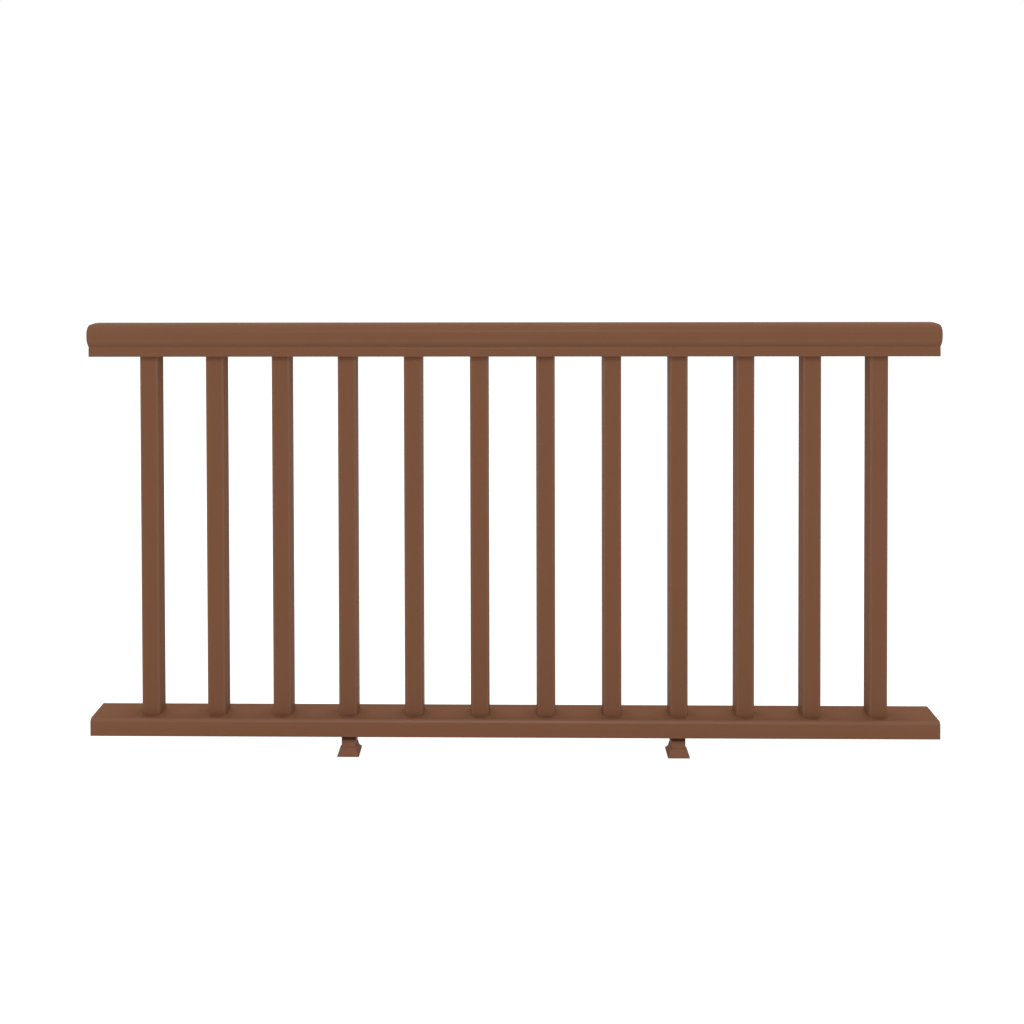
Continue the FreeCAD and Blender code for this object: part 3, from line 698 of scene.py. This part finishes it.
def seen_or_mirrored(tree):
    """A socket that is 1 for what the camera sees, straight, in a reflection or through glass, else 0."""
    path = tree.nodes.new("ShaderNodeLightPath")
    seen = path.outputs["Is Camera Ray"]
    for kind in ("Is Glossy Ray", "Is Transmission Ray"):
        either = tree.nodes.new("ShaderNodeMath")
        either.operation = "MAXIMUM"
        tree.links.new(seen, either.inputs[0])
        tree.links.new(path.outputs[kind], either.inputs[1])
        seen = either.outputs[0]
    return seen


section_middle = (cad_low + cad_high) / 2
bpy.ops.object.select_all(action="DESELECT")
bpy.ops.mesh.primitive_plane_add(size=FLOOR_SIZE, location=(section_middle.x, 0, cad_low.z))
floor = bpy.context.object
floor.name = "studio_floor"
floor_white = bpy.data.materials.new("floor_white")
floor_white.use_nodes = True
floor_nodes = floor_white.node_tree.nodes
floor_link = floor_white.node_tree.links.new
floor_nodes.clear()
floor_result = floor_nodes.new("ShaderNodeOutputMaterial")
floor_choice = floor_nodes.new("ShaderNodeMixShader")
floor_bounce = floor_nodes.new("ShaderNodeBsdfDiffuse")
floor_bounce.inputs["Color"].default_value = FLOOR_WHITE
floor_seen = floor_nodes.new("ShaderNodeAddShader")
floor_glow = floor_nodes.new("ShaderNodeEmission")
floor_glow.inputs["Strength"].default_value = FLOOR_GLOW
floor_shade = floor_nodes.new("ShaderNodeBsdfDiffuse")
floor_shade.inputs["Color"].default_value = FLOOR_SHADE
floor_link(floor_glow.outputs[0], floor_seen.inputs[0])
floor_link(floor_shade.outputs[0], floor_seen.inputs[1])
floor_link(seen_or_mirrored(floor_white.node_tree), floor_choice.inputs[0])
floor_link(floor_bounce.outputs[0], floor_choice.inputs[1])
floor_link(floor_seen.outputs[0], floor_choice.inputs[2])
floor_link(floor_choice.outputs[0], floor_result.inputs["Surface"])
floor.data.materials.append(floor_white)

# Light
# A pale room gives soft even light from all round. A low panel on either side lights the sides of the
# balusters, and one above the camera draws a soft line along the rounded edge of the bottom rail. Two
# more high behind light what faces up, and are kept out of reflections.
ROOM_LEVEL = 0.43
BACKDROP_LEVEL = 1.0
PANEL_DISTANCE = 8
SIDE_PANEL = {"elevation": 8, "size": (1.6, 1.2), "power": 170}
SIDE_TURN = 68
FRONT_PANEL = {"elevation": 40, "size": (2.4, 2.4), "power": 250}
BACK_PANEL = {"elevation": 55, "size": (5.0, 2.4), "power": 210}
BACK_TURN = 135

studio = bpy.data.worlds.new("studio")
bpy.context.scene.world = studio
studio.use_nodes = True
studio_nodes = studio.node_tree.nodes
studio_link = studio.node_tree.links.new
backdrop = studio_nodes["Background"]
backdrop.inputs["Color"].default_value = (1, 1, 1, 1)
level = studio_nodes.new("ShaderNodeMapRange")
level.inputs["To Min"].default_value = ROOM_LEVEL
level.inputs["To Max"].default_value = BACKDROP_LEVEL
studio_link(seen_or_mirrored(studio.node_tree), level.inputs["Value"])
studio_link(level.outputs["Result"], backdrop.inputs["Strength"])
studio.cycles.sampling_method = "NONE"


def soft_panel(name, azimuth, elevation, size, power, reflects=True):
    """A rectangular soft light that faces the middle of the railing; azimuth 0 is straight in front."""
    turn = math.radians(azimuth)
    lift = math.radians(elevation)
    towards = Vector((math.sin(turn) * math.cos(lift), -math.cos(turn) * math.cos(lift), math.sin(lift)))
    bpy.ops.object.light_add(type="AREA", location=section_middle + towards * PANEL_DISTANCE)
    panel = bpy.context.object
    panel.name = name
    panel.data.shape = "RECTANGLE"
    panel.data.size, panel.data.size_y = size
    panel.data.energy = power
    panel.visible_glossy = reflects
    panel.rotation_euler = towards.to_track_quat("Z", "Y").to_euler()


soft_panel("left_panel", -SIDE_TURN, **SIDE_PANEL)
soft_panel("right_panel", SIDE_TURN, **SIDE_PANEL)
soft_panel("front_panel", 0, **FRONT_PANEL)
soft_panel("left_back_panel", -BACK_TURN, **BACK_PANEL, reflects=False)
soft_panel("right_back_panel", BACK_TURN, **BACK_PANEL, reflects=False)

# Camera
# The picture was taken square on, a little above the top rail, with the lens shifted down so that
# the uprights stay upright.
PICTURE_SIZE = 1024
SENSOR = 36
FOCAL_PIXELS = 1042.6
CENTRE_COLUMN = 502.635
HORIZON_ROW = 233.1
CAMERA_PLACE = (0.35782, -2.20067, 1.13698)
CAMERA_PITCH = 0.014912
CAMERA_ROLL = 0.002348
CAMERA_YAW = 0.013356

looking = (math.radians(90) - CAMERA_PITCH, CAMERA_ROLL, CAMERA_YAW)
bpy.ops.object.camera_add(location=CAMERA_PLACE, rotation=looking)
camera = bpy.context.object
camera.name = "picture_camera"
camera.data.sensor_width = SENSOR
camera.data.lens = SENSOR * FOCAL_PIXELS / PICTURE_SIZE
camera.data.shift_x = 0.5 - CENTRE_COLUMN / PICTURE_SIZE
camera.data.shift_y = HORIZON_ROW / PICTURE_SIZE - 0.5
bpy.context.scene.camera = camera
bpy.context.scene.view_settings.view_transform = "Standard"
